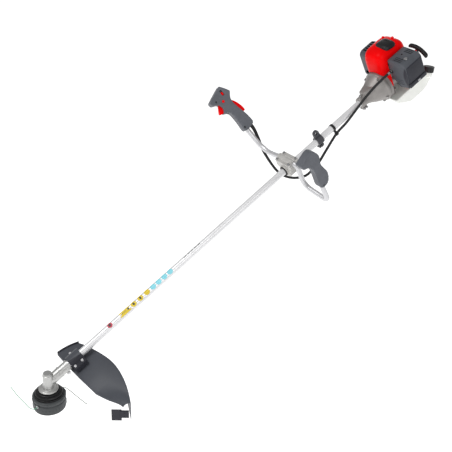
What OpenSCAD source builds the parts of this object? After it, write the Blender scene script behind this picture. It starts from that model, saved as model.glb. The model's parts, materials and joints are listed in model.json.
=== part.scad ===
// Petrol string trimmer with a bike handle: engine, long shaft, guard and tap-and-go line head.
// Parts are drawn along the shaft: x runs from the head to the engine, y to the operator's right,
// z up from the shaft, all counted from where the shaft's axis meets the head's axis.
// at_shaft() and at_head() put them in the object's own frame, whose origin is the harness eye.

/* [Shaft] */
// Angle between the shaft and the ground in use
shaft_tilt = 30; // [27:1:33]
// Outer diameter of the shaft tube
tube_d = 26; // [26:0.1:26.2]
// Wall of the shaft tube
tube_wall = 1.5; // [1.2:0.1:1.6]
// Where the tube ends in the clutch housing
tube_end = 1560; // [1556:1:1562]
// Diameter of the drive shaft
drive_d = 8; // [7.6:0.1:8]

/* [Harness eye] */
// Distance of the eye along the shaft
eye_x = 1318; // [1300:1:1330]
// Height of the eye above the shaft axis
eye_z = 36; // [34:1:40]
// Diameter of the eye
eye_d = 11; // [9:0.5:12]

/* [Line head] */
// Outer diameter of the line head
head_d = 115; // [112:1:118]
// How far the bump knob travels
bump_travel = 6; // [4:0.5:6]
// Diameter of the cutting line
line_d = 2.4; // [2:0.1:2.7]

/* [Handlebar] */
// Where the handlebar crosses the shaft
bar_x = 1165; // [1160:1:1170]
// Diameter of the handlebar tube
bar_d = 19.6; // [19:0.1:19.6]

/* [Engine] */
// Radius of the crank throw, half the stroke
crank_throw = 15; // [13:1:15]
// Diameter of the cylinder bore
bore_d = 40; // [38:1:40]
// Diameter of the fan housing where the clutch housing meets it
fan_case_d = 126; // [124:1:127]

/* [Hidden] */

$fn = 64;
slip = 0.05;      // radial clearance of a running fit
gap = 0.3;        // clearance between pieces that don't touch
eps = 0.01;       // overlap of shapes that are joined
tube_r = tube_d / 2;
drive_r = drive_d / 2;
bar_r = bar_d / 2;
bar_z = 28;       // height of the handlebar's axis above the shaft
cyl_x = 1714;     // cylinder axis along the shaft
bore_r = bore_d / 2;
rod_length = 55;  // between the connecting rod's two eyes
eyelet_angle = 24;
gear_angle = 35;  // pitch cone of the driven gear
pinion_angle = 25;
gear_teeth = 19;
pinion_teeth = 14;
screw_r = 2.5;    // M5 fasteners

// The handlebar as [run, turn, bend radius]: the right arm rises into the control grip, the left arm
// drops, runs out and rises again. Headings are degrees from y towards z.
right_steps = [[38.5, -8, 100], [41.8, 64, 90], [148.2, 0, 0]];
left_steps = [[38.5, 96, 16], [56, -86, 38], [66.9, -100, 22], [132.2, 0, 0]];
right_heading = 56;
grip_depth = 100; // of the handlebar inside the control grip

function bend_point(centre, radius, heading, side) = centre + side * radius * [sin(heading), -cos(heading)];

function bar_path(steps, p, heading, i = 0) = i == len(steps) ? [p] :
    let (run = steps[i][0], turn = steps[i][1], radius = steps[i][2], side = sign(turn),
        q = p + run * [cos(heading), sin(heading)], count = ceil(abs(turn) / 9),
        centre = q + side * radius * [-sin(heading), cos(heading)],
        r = turn == 0 ? q : bend_point(centre, radius, heading + turn, side))
    concat([p], [for (k = [0:1:count - 1]) bend_point(centre, radius, heading + turn * k / count, side)],
        bar_path(steps, r, heading + turn, i + 1));

right_path = bar_path(right_steps, [0, bar_z], 0);
left_path = bar_path(left_steps, [0, bar_z], 180);
right_end = right_path[len(right_path) - 1];
left_end = left_path[len(left_path) - 1];

clutch_grey = [0.72, 0.71, 0.69];
alloy = [0.78, 0.78, 0.78];
steel = [0.55, 0.56, 0.58];
dark_grey = [0.24, 0.25, 0.28];
mid_grey = [0.33, 0.34, 0.37];
black = [0.06, 0.06, 0.07];
red = [0.85, 0.03, 0.03];

// Where the pieces go -------------------------------------------------------------------------

module at_shaft() { rotate([0, -shaft_tilt, 0]) translate([-eye_x, 0, -eye_z]) children(); }

module at_head() { at_shaft() rotate([0, shaft_tilt, 0]) children(); }

// The grips' own frames: x towards the head, z along the grip
module at_control_grip() {
    translate([bar_x, right_end[0], right_end[1]]) rotate([right_heading - 90, 0, 0])
        translate([0, 0, -grip_depth]) rotate([0, 0, 180]) children();
}

module at_left_grip() { translate([bar_x, left_end[0], 0]) rotate([0, 0, 180]) children(); }

module at_filler() { translate([1856, -50, -82]) rotate([0, 35, 0]) children(); }

// Shapes that repeat --------------------------------------------------------------------------

// A box between two corners
module block(low, high) { translate(low) cube(high - low); }

// A solid of revolution about the shaft axis, from [x, radius] points
module turned(points) {
    rotate([0, 90, 0]) rotate_extrude() polygon([for (p = points) [p[1], p[0]]]);
}

// A disc or bar about a line along the shaft
module disc(x0, x1, r, y = 0, z = 0) translate([x0, y, z]) rotate([0, 90, 0]) cylinder(h = x1 - x0, r = r);

// A bar along y
module cross_bar(x, y0, y1, z, r) { translate([x, y0, z]) rotate([-90, 0, 0]) cylinder(h = y1 - y0, r = r); }

// A bar between two points, with chamfered ends
module bar(a, b, r) {
    d = b - a;
    h = norm(d);
    c = r / 2;
    translate(a) rotate([0, acos(d[2] / h), atan2(d[1], d[0])]) rotate_extrude()
        polygon([[0, 0], [r - c, 0], [r, c], [r, h - c], [r - c, h], [0, h]]);
}

// A rectangle with round corners, drawn about its centre
module round_rect(w, h, r) {
    square([w - 2 * r, h], center = true);
    square([w, h - 2 * r], center = true);
    for (sx = [-1, 1], sy = [-1, 1]) translate([sx * (w / 2 - r), sy * (h / 2 - r)]) circle(r);
}

// A profile in x and z, extruded along y
module side_plate(points, y0, y1) {
    translate([0, y1, 0]) rotate([90, 0, 0]) linear_extrude(y1 - y0) polygon(points);
}

// A profile in y and z, extruded along x
module end_plate(points, x0, x1) {
    translate([x0, 0, 0]) rotate([90, 0, 90]) linear_extrude(x1 - x0) polygon(points);
}

// A socket-head screw: head on the +z side of the origin, shank on the -z side
module cap_screw(shank) {
    difference() {
        cylinder(h = 5, r = 4.2);
        translate([0, 0, 2]) cylinder(h = 4, r = 2.3, $fn = 6);
    }
    translate([0, 0, -shank]) cylinder(h = shank + eps, r = screw_r);
}

// The head of a small pan-head screw
module pan_screw() cylinder(h = 2, r = 3.4);

// Straight bevel teeth along a pitch cone of the given half angle, apex at the origin, about +z
module bevel_teeth(count, cone, first) {
    for (i = [0:count - 1])
        rotate([0, 0, first + i * 360 / count]) rotate([0, cone, 0])
            translate([-0.9, -0.53, 17]) cube([1.6, 1.06, 5.2]);
}

// Smooth curves and swept tubes -----------------------------------------------------------------

function unit(v) = v / norm(v);

function spline_point(a, b, c, d, t) =
    0.5 * (2 * b + (c - a) * t + (2 * a - 5 * b + 4 * c - d) * t * t + (3 * b - a - 3 * c + d) * t * t * t);

// A smooth curve through the points, with n steps between two of them
function smooth(p, n) = concat(
    [for (i = [0:len(p) - 2]) for (k = [0:n - 1])
        spline_point(p[max(i - 1, 0)], p[i], p[i + 1], p[min(i + 2, len(p) - 1)], k / n)],
    [p[len(p) - 1]]);

function tangent(p, i) = unit(p[min(i + 1, len(p) - 1)] - p[max(i - 1, 0)]);

// One direction across the path at each point, carried along without twist
function across(p, i, u) = i == len(p) ? [] :
    let (t = tangent(p, i), w = unit(u - (u * t) * t)) concat([w], across(p, i + 1, w));

// Closed skin over a list of equal rings
module loft(rings) {
    n = len(rings[0]);
    last = len(rings) - 1;
    // both ends are closed by strips between the ring's two halves
    near_end = [for (k = [0:n / 2 - 2]) each [[k, k + 1, n - 1 - k], [k + 1, n - 2 - k, n - 1 - k]]];
    far_end = [for (t = near_end) [for (v = [2:-1:0]) last * n + t[v]]];
    sides = [for (i = [0:last - 1]) for (k = [0:n - 1]) let (a = i * n + k, b = i * n + (k + 1) % n)
        each [[a, a + n, b + n], [a, b + n, b]]];
    polyhedron(points = [for (ring = rings) each ring], faces = concat(near_end, sides, far_end));
}

// A pipe of n sides along a path
module swept_pipe(p, outer, inner, n) {
    last = len(p) - 1;
    u = across(p, 0, [1, 0, 0]);
    function ring(i, r) = let (v = cross(tangent(p, i), u[i]))
        [for (k = [0:n - 1]) p[i] + (u[i] * cos(360 * k / n) + v * sin(360 * k / n)) * r];
    polyhedron(
        points = [for (i = [0:last]) each concat(ring(i, outer), ring(i, inner))],
        faces = [for (i = [0:last - 1]) for (k = [0:n - 1])
            let (a = 2 * n * i, b = a + 2 * n, m = (k + 1) % n)
            each [[a + k, b + k, b + m, a + m], [a + n + k, a + n + m, b + n + m, b + n + k]],
            for (k = [0:n - 1]) let (b = 2 * n * last, m = (k + 1) % n)
                each [[k, m, n + m, n + k], [b + k, b + n + k, b + n + m, b + m]]]);
}

// A tube of n sides along a path, with its diameter given at each point
module swept_tube(p, d, n) {
    u = across(p, 0, cross(tangent(p, 0), [0.3, 0.6, 0.7]));
    loft([for (i = [0:len(p) - 1]) let (v = cross(tangent(p, i), u[i]))
        [for (k = [0:n - 1]) p[i] + (u[i] * cos(360 * k / n) + v * sin(360 * k / n)) * d[i] / 2]]);
}

// Line head -------------------------------------------------------------------------------------

module gear_case() color(alloy) at_shaft() difference() {
    union() {
        turned([[0, 0], [8, 16], [22, 19], [50, 19], [50, 20.2], [56, 20.2], [56, 18.2], [84, 18.2],
            [84, 19.4], [91, 19.4], [91, 0]]);
        block([66, -8, -29], [80, 8, -12]);
        rotate([0, shaft_tilt, 0]) rotate_extrude() polygon([[0, -14.6], [20, -14.6], [20, -11], [17, -8],
            [17, 33], [15.6, 34], [15.6, 37], [14, 41], [0, 41]]);
    }
    disc(44, 92, tube_r + slip);
    disc(8, 44, 11 + slip);
    block([65, -1, -30], [92, 1, -8]);
    cross_bar(73, -9, 9, -24, screw_r + 0.2);
    rotate([0, shaft_tilt, 0]) {
        translate([0, 0, -15]) cylinder(h = 9, r = 13 + slip);
        translate([0, 0, -7]) cylinder(h = 36, r = 12);
        translate([0, 0, 10]) cylinder(h = 16.5, r = 15);
        translate([0, 0, 26]) cylinder(h = 9, r = 13 + slip);
    }
}

// Two rings of balls carry each shaft; the bores run on the shafts with a running fit
module bearing(bore, outer, width) {
    difference() {
        cylinder(h = width, r = outer);
        translate([0, 0, -eps]) cylinder(h = width + 2 * eps, r = bore + slip);
        translate([0, 0, -eps]) difference() {
            cylinder(h = 1, r = outer - 2);
            cylinder(h = 1, r = bore + 2);
        }
    }
}

module ball_bearings() color(steel) at_shaft() {
    for (x = [28, 36.5]) translate([x, 0, 0]) rotate([0, 90, 0]) bearing(4.5, 11, 7);
    rotate([0, shaft_tilt, 0]) for (z = [-14, 26.6]) translate([0, 0, z]) bearing(5, 13, 7.8);
    for (x = [1578, 1671, 1753]) translate([x, 0, 0]) rotate([0, 90, 0]) bearing(5, 13, 8);
}

module bevel_pinion() color(steel) at_shaft() difference() {
    union() {
        rotate([0, 90, 0]) bevel_teeth(pinion_teeth, pinion_angle, 180 / pinion_teeth);
        turned([[15, 0], [15, 6.15], [21.6, 9.2], [22, 9.4], [25, 9.4], [25, 6], [27.8, 6], [27.8, 4.5],
            [43.6, 4.5], [43.6, 0]]);
    }
    block([29, -2.8, -2.8], [45, 2.8, 2.8]);
}

module bevel_gear() color(steel) at_head() difference() {
    union() {
        bevel_teeth(gear_teeth, gear_angle, 0);
        rotate_extrude() polygon([[0, 13.4], [8.4, 13.4], [12.2, 18.8], [13.8, 19.4], [13.8, 22], [7.5, 24.5],
            [7.5, 26.2], [0, 26.2]]);
    }
    translate([0, 0, 10]) cylinder(h = 20, r = 5 + slip);
}

module output_spindle() color(steel) at_head() rotate_extrude() polygon([[0, -84], [4.2, -84], [4.2, -34],
    [5, -33], [5, 34.4], [0, 34.4]]);

module cutter_flange() color(alloy) at_head() difference() {
    rotate_extrude() polygon([[0, -15], [22, -15], [23, -17], [31, -19], [33.5, -21], [33.5, -25], [31, -26],
        [26, -23.4], [18, -22], [12, -26], [0, -26]]);
    translate([0, 0, -27]) cylinder(h = 14, r = 5 + slip);
}

module spool_cap() color(black) at_head() difference() {
    rotate_extrude() polygon([[0, -26.4], [17, -26.4], [19, -28.6], [38, -28.6], [40, -30], [40, -33],
        [45, -34], [46.5, -36], [46.5, -39], [44, -40], [44, -42], [48, -43.4], [49, -47.4], [0, -47.4]]);
    translate([0, 0, -50]) cylinder(h = 30, r = 5 + slip);
    translate([0, 0, -48]) rotate_extrude() polygon([[16, 0], [16, 8], [30, 14], [35, 14], [43, 2], [43, 0]]);
}

module spool_housing() color(dark_grey) at_head() difference() {
    r = head_d / 2;
    rotate_extrude() polygon([[27.4, -100], [r - 8, -100], [r - 3, -97], [r - 0.5, -88], [r - 1, -72],
        [r - 2.5, -70], [r - 2.5, -60], [r, -58], [r, -51], [r - 3, -47.6], [49.4, -47.6], [49.4, -50],
        [r - 5, -53], [r - 5, -88], [r - 10, -96], [27.4, -96]]);
    for (a = [0, 180]) rotate([0, 0, eyelet_angle + a]) translate([45, 0, -65]) rotate([0, 90, 0])
        cylinder(h = 20, r = 4.1);
    for (i = [0:11]) rotate([0, 0, i * 30 + 9]) translate([r - 1.8, -5, -96]) cube([6, 10, 20]);
}

module line_eyelets() color(steel) at_head() for (a = [0, 180]) rotate([0, 0, eyelet_angle + a])
    translate([head_d / 2 - 6, 0, -65]) rotate([0, 90, 0]) difference() {
        union() {
            cylinder(h = 7.5, r = 4);
            translate([0, 0, 6]) cylinder(h = 2, r = 5.2);
        }
        translate([0, 0, -1]) cylinder(h = 12, r = line_d / 2 + 0.4);
    }

eyelet_r = head_d / 2 + 2;   // where the line leaves the eyelet
line_exit = [eyelet_r * cos(eyelet_angle), eyelet_r * sin(eyelet_angle), -65];
left_route = [-line_exit[0], -line_exit[1], -65];
line_left_points = [left_route, [-60, -27, -65.4], [-69, -24, -67], [-76, -6, -69], [-79, 24, -70],
    [-84, 72, -71], [-86, 135, -72]];
line_right_points = [line_exit, [60, 27, -65.4], [69, 24, -67], [76, 8, -69], [83, -30, -70], [90, -66, -71],
    [96, -95, -71]];

module cutting_line(points) {
    p = smooth(points, 5);
    color([0.25, 0.7, 0.4]) at_head() swept_tube(p, [for (q = p) line_d], 8);
}

module line_left() cutting_line(line_left_points);

module line_right() cutting_line(line_right_points);

module spool() color(black) at_head() difference() {
    union() {
        for (z = [-90.4, -73, -56.6]) translate([0, 0, z]) cylinder(h = 2.5, r = z == -73 ? 44 : 48);
        translate([0, 0, -90]) cylinder(h = 35, r = 22);
        for (z = [-88, -70.6]) translate([0, 0, z]) cylinder(h = 14.2, r = 38);
    }
    translate([0, 0, -74]) cylinder(h = 25, r = 16);
    translate([0, 0, -92]) cylinder(h = 40, r = 6);
}

module bump_knob() color(black) at_head() difference() {
    rotate_extrude() polygon([[0, -112], [14, -112], [21, -110], [24.5, -106], [26, -100], [26, -94],
        [20, -90.7], [0, -90.7]]);
    translate([0, 0, -108.5]) cylinder(h = 20, r = 6);
    for (i = [0:7]) rotate([0, 0, 45 * i]) translate([27.5, 0, -113]) cylinder(h = 14, r = 4);
}

// A compression spring with flat end coils
spring_turns = 5;
spring_top = -47.6;
spring_foot = -74;

module spool_spring() color(steel) at_head() {
    steps = 14 * spring_turns;
    travel = spring_top - spring_foot - 2;
    p = [for (i = [0:steps]) let (a = 360 * spring_turns * i / steps)
        [11.5 * cos(a), 11.5 * sin(a), spring_foot + 1 + travel * i / steps]];
    swept_tube(p, [for (q = p) 1.6], 6);
}

// Guard -----------------------------------------------------------------------------------------

// Front edge, rim and skirt height, from the far side of the shaft round to the line cutter
guard_front = [[85, 107, 20], [86, 40, 21], [88, -20, 22], [90, -60, 22], [97, -110, 16], [106, -150, 6],
    [130, -185, -5], [157, -210, -16], [168, -221, -24]];
guard_rim = [[154, 74, 60], [165, 40, 66], [174, 0, 71], [188, -50, 71], [198, -95, 66], [200, -140, 56],
    [196, -185, 40], [188, -222, 22], [182, -246, 2]];
guard_skirt = [[12], [14], [16], [20], [28], [40], [52], [64], [72]];
guard_wall = 3;

// Cross-section of the guard between its front edge f and its rim r, with a skirt of height h
function guard_ring(f, r, h) =
    let (out = unit([r[0] - f[0], r[1] - f[1] - 20, 0]), under = guard_wall * [0.5, 0, -0.87],
        crown = [for (k = [0:5]) f + (r - f) * k / 5 + [0, 0, 4 * sin(36 * k)]])
    concat(crown, [r + out * 2 + [0, 0, -h], r - out + [0, 0, -h], r - out * guard_wall + under],
        [for (k = [4:-1:0]) crown[k] + under]);

module guard() color(dark_grey) at_head() {
    f = smooth(guard_front, 4);
    r = smooth(guard_rim, 4);
    h = smooth(guard_skirt, 4);
    loft([for (i = [0:len(f) - 1]) guard_ring(f[i], r[i], h[i][0])]);
}

// A saddle under the tube and a cap over it, drawn together by three screws
clamp_screws = [[104, -33], [134, -33], [118, 33]];

module guard_clamp() color(dark_grey) at_shaft() difference() {
    union() {
        end_plate([[-43, -8], [-43, -1], [-25, 0], [-18, 16], [-9, 20.5], [9, 20.5], [18, 16], [25, 0],
            [43, -1], [43, -8]], 95, 146);
        end_plate([[-43, -18], [-43, -8.4], [43, -8.4], [43, -18], [20, -20], [-20, -20]], 98, 144);
    }
    disc(90, 150, tube_r + slip);
    for (s = clamp_screws) translate([s[0], s[1], -30]) cylinder(h = 40, r = screw_r + 0.2);
}

module line_cutter() color(steel) at_head() translate([133, -206, 0]) rotate([0, 0, -34]) difference() {
    union() {
        block([-2, -1.2, -77], [32, 1.2, -31]);
        block([28, -3, -64], [56, 3, -36]);
    }
    for (z = [-57, -43]) cross_bar(42, -5, 5, z, 1.7);
}

// Shaft -----------------------------------------------------------------------------------------

module shaft_tube() color([0.85, 0.85, 0.86]) at_shaft() difference() {
    disc(45, tube_end, tube_r);
    disc(44, tube_end + 1, tube_r - tube_wall);
}

module shaft_bushes() color(black) at_shaft() for (x = [230:300:1430]) difference() {
    disc(x, x + 30, tube_r - tube_wall);
    disc(x - 1, x + 31, drive_r + slip);
    for (a = [0:90:270]) rotate([a, 0, 0]) disc(x - 1, x + 31, 1.6, 0, 8);
}

module drive_shaft() color(steel) at_shaft() {
    disc(46, 1569.6, drive_r);
    block([30, -2.7, -2.7], [46, 2.7, 2.7]);
    block([1569.5, -2.7, -2.7], [1592, 2.7, 2.7]);
}

module harness_clamp() color(dark_grey) at_shaft() difference() {
    union() {
        disc(eye_x - 12, eye_x + 16, tube_r + 5);
        block([eye_x - 10, -9, -29], [eye_x + 12, 9, -10]);
        cross_bar(eye_x, -4.5, 4.5, eye_z, 12.5);
        side_plate([[eye_x - 12.4, 12], [eye_x + 16, 12], [eye_x + 12, eye_z], [eye_x - 12.4, eye_z]],
            -4.5, 4.5);
    }
    disc(eye_x - 20, eye_x + 20, tube_r + slip);
    block([eye_x - 20, -1.5, -30], [eye_x + 20, 1.5, -5]);
    cross_bar(eye_x, -5, 5, eye_z, eye_d / 2);
    cross_bar(eye_x + 1, -10, 10, -23, screw_r + 0.2);
}

clip_x = 1394;
clip_conduit = [-15, -23];

module cable_clip() color(black) at_shaft() difference() {
    union() {
        disc(clip_x - 5, clip_x + 5, tube_r + 2);
        disc(clip_x - 4, clip_x + 4, 8.2, clip_conduit[0], clip_conduit[1]);
        rotate([atan2(clip_conduit[1], clip_conduit[0]), 0, 0])
            block([clip_x - 4, 13.5, -3], [clip_x + 4, 21, 3]);
    }
    disc(clip_x - 6, clip_x + 6, tube_r + slip);
    disc(clip_x - 6, clip_x + 6, 6.2, clip_conduit[0], clip_conduit[1]);
}

// Handlebar -------------------------------------------------------------------------------------

bracket_screws = [for (x = [-18.5, 18.5], y = [-31, 35]) [bar_x + x, y]];

module handlebar_bracket() color(clutch_grey) at_shaft() difference() {
    union() {
        translate([bar_x, 3, 14]) linear_extrude(bar_z - 14 - gap / 2) round_rect(50, 82, 6);
        end_plate([[-38, 14.5], [44, 14.5], [44, 12], [25, -6], [23, -22], [15, -27], [-15, -27], [-23, -22],
            [-25, -6], [-38, 12]], bar_x - 24.5, bar_x + 24.5);
        disc(bar_x - 30, bar_x + 30, 21);
    }
    disc(bar_x - 40, bar_x + 40, 17 + slip);
    cross_bar(bar_x, -60, 60, bar_z, bar_r + slip);
    for (s = bracket_screws) translate([s[0], s[1], -40]) cylinder(h = 90, r = screw_r + 0.2);
}

module handlebar_cap() color(clutch_grey) at_shaft() difference() {
    union() {
        translate([bar_x, 3, bar_z + gap / 2]) linear_extrude(8 - gap / 2) round_rect(50, 82, 6);
        intersection() {
            cross_bar(bar_x, -38, 44, bar_z, 15.5);
            block([bar_x - 20, -50, bar_z + 1], [bar_x + 20, 50, 60]);
        }
    }
    cross_bar(bar_x, -60, 60, bar_z, bar_r + slip);
    for (s = bracket_screws) translate([s[0], s[1], 0]) cylinder(h = 90, r = screw_r + 0.2);
}

module bracket_bush() color(black) at_shaft() difference() {
    union() {
        disc(bar_x - 33, bar_x + 33, 17);
        for (x = [-33, 30.3]) disc(bar_x + x, bar_x + x + 2.7, 19);
    }
    disc(bar_x - 40, bar_x + 40, tube_r + slip);
}

module handlebar() color([0.85, 0.85, 0.86]) at_shaft() swept_pipe(
    [for (q = concat([for (i = [len(right_path) - 1:-1:1]) right_path[i]], left_path)) [bar_x, q[0], q[1]]],
    bar_r, bar_r - 1.5, 20);

left_grip_side = [[-20, -13], [-8, -17], [6, -16], [14, -8], [15, 10], [13, 38], [14, 76], [27, 101],
    [46, 110], [51, 116], [53, 128], [50, 134], [6, 151], [-12, 148], [-23, 131], [-28, 113], [-24, 94],
    [-22, 78], [-29, 52], [-35, 30], [-33, 10], [-27, -4]];

module left_grip() color(mid_grey) at_shaft() difference() {
    at_left_grip() side_plate(left_grip_side, -16, 16);
    at_left_grip() {
        translate([0, 0, -30]) cylinder(h = 88.5, r = bar_r + slip);
        translate([0, 14, -8]) rotate([-90, 0, 0]) cylinder(h = 3, r = 3);
    }
}

control_grip_side = [[-26, 4], [-12, 0], [8, 0], [15, 8], [13, 38], [12.5, 72], [17, 92], [30, 100],
    [36, 104], [30, 112], [26, 124], [32, 142], [44, 148], [54, 154], [55, 166], [48, 172], [-8, 193], [-18, 191],
    [-38, 160], [-36, 152], [-24, 136], [-20, 118], [-24, 90], [-32, 56], [-36, 24], [-34, 8]];
trigger_pivot = [4, 132];
lockout_pivot = [-16, 128];
button_place = [10, 141];
conduit_side = 23;   // of the conduit from the bar, inside the grip

// One half of the control grip: y from 0 to 17 on its own side
module control_half(side) color(mid_grey) at_shaft() difference() {
    at_control_grip() side_plate(control_grip_side, side < 0 ? -17 : 0.1, side < 0 ? -0.1 : 17);
    at_control_grip() {
        translate([0, 0, -10]) cylinder(h = grip_depth + 10.5, r = bar_r + slip);
        // room for the trigger and lockout
        side_plate([[-46, 58], [-14, 58], [-12, 101], [10, 101], [12, 92], [44, 88], [44, 122], [30, 146],
            [-14, 146], [-46, 134]], -7, 7);
        cross_bar(trigger_pivot[0], -12, 12, trigger_pivot[1], 3 + slip);
        cross_bar(lockout_pivot[0], -12, 12, lockout_pivot[1], 3 + slip);
        block([-12, 10.4, 158], [-2, 18, 181]);
        cross_bar(button_place[0], 8, 18, button_place[1], 5.3);
        translate([-conduit_side, 0, -2]) cylinder(h = 15.5, r = 7.6);
    }
}

module control_grip_left() control_half(1);

module control_grip_right() control_half(-1);

// Curved front, a pivot boss and a tail that the lockout blocks
module throttle_trigger() color(red) at_shaft() at_control_grip() {
    side_plate([[-1, 127], [12, 106.5], [36, 105.5], [50, 110], [46, 120], [39, 130], [32, 140], [20, 141],
        [4, 138]], -6.4, 6.4);
    cross_bar(trigger_pivot[0], -11.5, 11.5, trigger_pivot[1], 3);
}

module throttle_lockout() color(red) at_shaft() at_control_grip() {
    side_plate([[-13, 133], [-14, 118], [-22, 108], [-27, 84], [-30, 66], [-37, 62.5], [-43, 66], [-42, 84],
        [-35, 108], [-24, 126]], -6, 6);
    cross_bar(lockout_pivot[0], -11.5, 11.5, lockout_pivot[1], 3);
}

module stop_switch() color(red) at_shaft() at_control_grip() {
    block([-10.5, 10.8, 160], [-3.5, 16.6, 172]);
    block([-9.5, 16.5, 163], [-4.5, 19, 169]);
}

module half_throttle_button() color(red) at_shaft() at_control_grip()
    cross_bar(button_place[0], 12, 20, button_place[1], 5);

// Throttle conduit: from the control grip, under the shaft and along it to the carburettor
conduit_route = [[bar_x + conduit_side, 215, 110], [bar_x + conduit_side, 200, 88], [1182, 188, 40],
    [1170, 168, -10], [1161, 122, -70], [1162, 80, -88], [1170, 34, -86], [1180, -4, -74], [1192, -34, -60],
    [1214, -44, -52], [1264, -38, -50], [1320, -28, -38], [clip_x, clip_conduit[0], clip_conduit[1]],
    [1450, -18, -12], [1510, -27, 14], [1556, -34, 33], [1606, -42, 50], [1652, -52, 62], [1686, -56, 66]];

module throttle_conduit() color(black) at_shaft() {
    p = smooth(conduit_route, 4);
    swept_tube(p, [for (i = [0:len(p) - 1]) i < 10 ? 14 - 0.4 * i : 10], 10);
}

// Fasteners ---------------------------------------------------------------------------------------

module cap_screws() color(steel) at_shaft() {
    for (s = clamp_screws) translate([s[0], s[1], 0]) cap_screw(15);
    for (s = bracket_screws) translate([s[0], s[1], bar_z + 8]) cap_screw(34);
    translate([73, -8, -24]) rotate([90, 0, 0]) cap_screw(15);
    translate([eye_x + 1, -9, -23]) rotate([90, 0, 0]) cap_screw(17);
    for (x = [1552, 1564]) translate([x, -11, -27]) rotate([90, 0, 0]) cap_screw(20);
    translate([1558, 0, 24]) cap_screw(10);
}

module small_screws() color(steel) at_shaft() {
    at_control_grip() for (q = [[7, 14], [34, 156]])
        translate([q[0], 17.3, q[1]]) rotate([-90, 0, 0]) pan_screw();
    at_left_grip() translate([0, 14.3, -8]) rotate([-90, 0, 0]) cylinder(h = 1.4, r = 2.6);
    translate([filter_screw[0], filter_screw[1], 115.7]) cylinder(h = 3, r = 7);
}

// Engine --------------------------------------------------------------------------------------------

module clutch_housing() color(clutch_grey) at_shaft() difference() {
    union() {
        turned([[1545, 0], [1545, 21], [1572, 22.5], [1578, 25], [1590, 30], [1612, 44], [1640, 55],
            [1648, fan_case_d / 2], [1660, fan_case_d / 2], [1660, 0]]);
        for (a = [0:45:315]) rotate([a, 0, 0])
            side_plate([[1574, 15], [1648, 15], [1648, 60], [1612, 48], [1590, 34]], -1.5, 1.5);
        block([1548, -11, -33], [1568, 11, -10]);
        block([1552, -7, 14], [1570, 7, 24]);
        translate([0, 0, 12]) linear_extrude(26) polygon([[1566, -9], [1648, -36], [1648, 36], [1566, 9]]);
    }
    turned([[1544, 0], [1544, tube_r + slip], [1566, tube_r + slip], [1566, 9], [1577.6, 9],
        [1577.6, 13 + slip], [1588, 13 + slip], [1594, 24], [1612, 40], [1640, 51], [1648, 58.5],
        [1661, 58.5],
        [1661, 0]]);
    block([1544, -1.2, -34], [1569, 1.2, -8]);
    for (x = [1552, 1564]) cross_bar(x, -12, 12, -27, screw_r + 0.2);
    translate([1558, 0, 12]) cylinder(h = 20, r = screw_r + 0.2);
}

module clutch_drum() color(steel) at_shaft() difference() {
    turned([[1570, 0], [1570, 5], [1588, 5], [1588, 8], [1611, 8], [1611, 36], [1613, 38], [1636, 38],
        [1636, 35.5], [1615, 35.5], [1615, 0]]);
    block([1569, -2.8, -2.8], [1594, 2.8, 2.8]);
}

module clutch_shoes() color(steel) at_shaft() {
    for (a = [20, 200]) rotate([a, 0, 0]) rotate([0, 90, 0]) translate([0, 0, 1619]) difference() {
        rotate_extrude(angle = 140) translate([22, 0]) square([12.8, 15]);
        rotate([0, 0, 20]) translate([28, 0, -1]) cylinder(h = 20, r = 4.1);
    }
    translate([1626, 0, 0]) rotate([0, 90, 0]) rotate_extrude() translate([19.6, 0]) circle(1.5);
}

module crankcase() color(clutch_grey) at_shaft() difference() {
    union() {
        turned([[1660.2, 0], [1660.2, fan_case_d / 2], [1672, fan_case_d / 2], [1676, 52], [1682, 38],
            [1762, 38], [1762, 0]]);
        block([1684, -32, 20], [1744, 32, 38]);
        for (x = [1690, 1746]) block([x, -30, -61], [x + 10, 30, -20]);
        for (a = [200:20:340]) rotate([a - 90, 0, 0]) block([1674, -1.5, 20], [1690, 1.5, 57]);
    }
    turned([[1659, 0], [1659, 58.5], [1666, 58.5], [1666, 10], [1670.6, 10], [1670.6, 13 + slip],
        [1679.2, 13 + slip], [1679.2, 9], [1686, 9], [1686, 31], [1742, 31], [1742, 9], [1752.8, 9],
        [1752.8, 13 + slip], [1763, 13 + slip], [1763, 0]]);
    translate([cyl_x, 0, 10]) cylinder(h = 40, r = bore_r + 2);
}

// Both halves turn together; the pin between them is left open for the rod
module crank_half(x0, x1, web0, pin0, pin1) {
    disc(x0, x1, 5);
    disc(web0, web0 + 11, 27);
    disc(pin0, pin1, 6, 0, crank_throw);
}

module crankshaft() color(steel) at_shaft() {
    crank_half(1620, 1692, 1691, 1701, cyl_x - 5.2);
    crank_half(1735, 1776, 1726, cyl_x + 5.2, 1727);
}

module connecting_rod() color(steel) at_shaft() translate([cyl_x - 4.5, 0, crank_throw]) rotate([0, 90, 0]) {
    difference() {
        union() {
            cylinder(h = 9, r = 10.5);
            translate([-rod_length, 0, 0]) cylinder(h = 9, r = 8);
            translate([-rod_length, -4, 1.5]) cube([rod_length, 8, 6]);
        }
        translate([0, 0, -1]) cylinder(h = 11, r = 6.2);
        translate([-rod_length, 0, -1]) cylinder(h = 11, r = 5 + slip);
    }
}

piston_z = crank_throw + rod_length;

module piston() color(alloy) at_shaft() translate([cyl_x, 0, piston_z]) {
    difference() {
        translate([0, 0, -12]) cylinder(h = 30, r = bore_r - slip);
        translate([0, 0, -15]) intersection() {
            cylinder(h = 28, r = bore_r - 2.5);
            translate([-6, -20, 0]) cube([12, 40, 28]);
        }
        for (z = [10, 14]) translate([0, 0, z]) difference() {
            cylinder(h = 1.2, r = bore_r + 1);
            cylinder(h = 1.2, r = bore_r - 1.5);
        }
        disc(-25, 25, 5);
    }
    disc(-17, 17, 4.95);
}

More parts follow.
